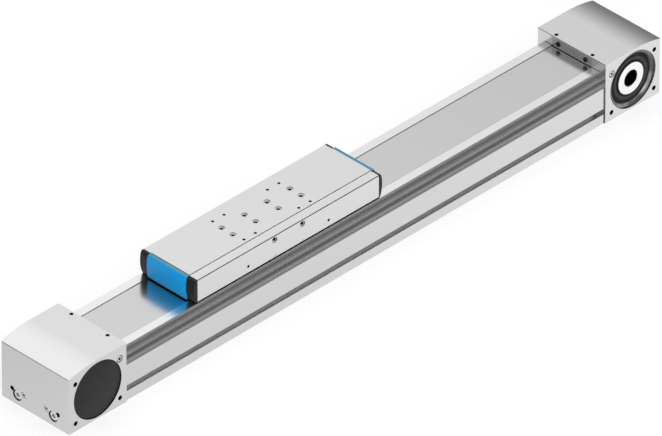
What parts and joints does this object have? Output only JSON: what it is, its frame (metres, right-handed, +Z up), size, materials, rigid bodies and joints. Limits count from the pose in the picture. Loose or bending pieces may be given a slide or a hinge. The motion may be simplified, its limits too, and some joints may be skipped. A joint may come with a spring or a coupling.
{
  "type": "belt driven linear axis",
  "caption": "Long aluminium linear axis with a toothed belt, a covered ball rail guide and one slide between a drive housing and an idler housing.",
  "frame": {"origin": "middle of the underside, halfway along the axis", "axes": "+X along the axis towards the drive end, +Y towards the back, +Z up"},
  "size_m": [1.05, 0.12, 0.1112],
  "materials": {
    "profile_aluminium": "clear anodised, satin, drawn along its length",
    "housing_aluminium": "clear anodised, fine blasted",
    "slide_aluminium": "clear anodised, fine blasted",
    "plain_aluminium": "machined",
    "strip_steel": "polished stainless band",
    "bearing_steel": "ground",
    "zinc_steel": "zinc plated",
    "blackened_steel": "black oxide",
    "black_plastic": "fine grained moulding",
    "blue_plastic": "smooth moulding",
    "seal_rubber": "matt",
    "belt_polyurethane": "smooth",
    "magnet_rubber": "matt"
  },
  "bodies": {
    "frame": {"profile": "profile_aluminium", "guide_rail": "bearing_steel", "guide_rail_screws": "bearing_steel", "magnet_strip_front": "magnet_rubber", "magnet_strip_back": "magnet_rubber", "cover_strip": "strip_steel", "toothed_belt": "belt_polyurethane", "idler_housing": "housing_aluminium", "drive_housing": "housing_aluminium", "idler_cover_front": "black_plastic", "idler_cover_back": "black_plastic", "idler_bearing_outer_front": "bearing_steel", "idler_bearing_outer_back": "bearing_steel", "drive_bearing_outer_front": "bearing_steel", "drive_bearing_outer_back": "bearing_steel", "drive_seal_case_front": "bearing_steel", "drive_seal_case_back": "bearing_steel", "drive_seal_lip_front": "seal_rubber", "drive_seal_lip_back": "seal_rubber", "strip_clamp_idler": "plain_aluminium", "strip_clamp_drive": "plain_aluminium", "strip_clamp_screws": "blackened_steel", "housing_screws": "zinc_steel", "housing_set_screws": "zinc_steel", "plug_screws": "zinc_steel"},
    "slide": {"slide_body": "slide_aluminium", "slide_core": "plain_aluminium", "slide_core_screws": "bearing_steel", "carriage_idler_side": "bearing_steel", "carriage_drive_side": "bearing_steel", "carriage_end_seals": "black_plastic", "carriage_screws": "bearing_steel", "belt_clamp_idler_side": "plain_aluminium", "belt_clamp_drive_side": "plain_aluminium", "belt_clamp_screws": "bearing_steel", "end_cap_idler_side": "black_plastic", "end_cap_drive_side": "black_plastic", "cap_insert_idler_side": "blue_plastic", "cap_insert_drive_side": "blue_plastic", "side_seal_front": "seal_rubber", "side_seal_back": "seal_rubber", "strip_lifter_idler_side": "black_plastic", "strip_lifter_drive_side": "black_plastic", "strip_presser_idler_side": "black_plastic", "strip_presser_drive_side": "black_plastic"},
    "drive_shaft": {"drive_hub": "bearing_steel", "drive_pulley": "plain_aluminium", "drive_flange_front": "bearing_steel", "drive_flange_back": "bearing_steel", "drive_bearing_inner_front": "bearing_steel", "drive_bearing_inner_back": "bearing_steel"},
    "idler_shaft": {"idler_hub": "bearing_steel", "idler_pulley": "plain_aluminium", "idler_flange_front": "bearing_steel", "idler_flange_back": "bearing_steel", "idler_bearing_inner_front": "bearing_steel", "idler_bearing_inner_back": "bearing_steel"}
  },
  "joints": [
    {"name": "slide_travel", "type": "slide", "parent": "frame", "child": "slide", "axis": [1, 0, 0], "range_m": [-0.1205, 0.3795], "deforming": ["toothed_belt", "cover_strip"]},
    {"name": "drive_turn", "type": "hinge", "parent": "frame", "child": "drive_shaft", "pos_m": [0.475, 0, 0.044], "axis": [0, 1, 0], "range_deg": [-263, 829]},
    {"name": "idler_turn", "type": "hinge", "parent": "frame", "child": "idler_shaft", "pos_m": [-0.475, 0, 0.044], "axis": [0, 1, 0], "range_deg": [-263, 829]}
  ],
  "couplings": [
    {"joint": "drive_turn", "follows": "slide_travel", "rad_per_m": 38.08},
    {"joint": "idler_turn", "follows": "slide_travel", "rad_per_m": 38.08}
  ]
}
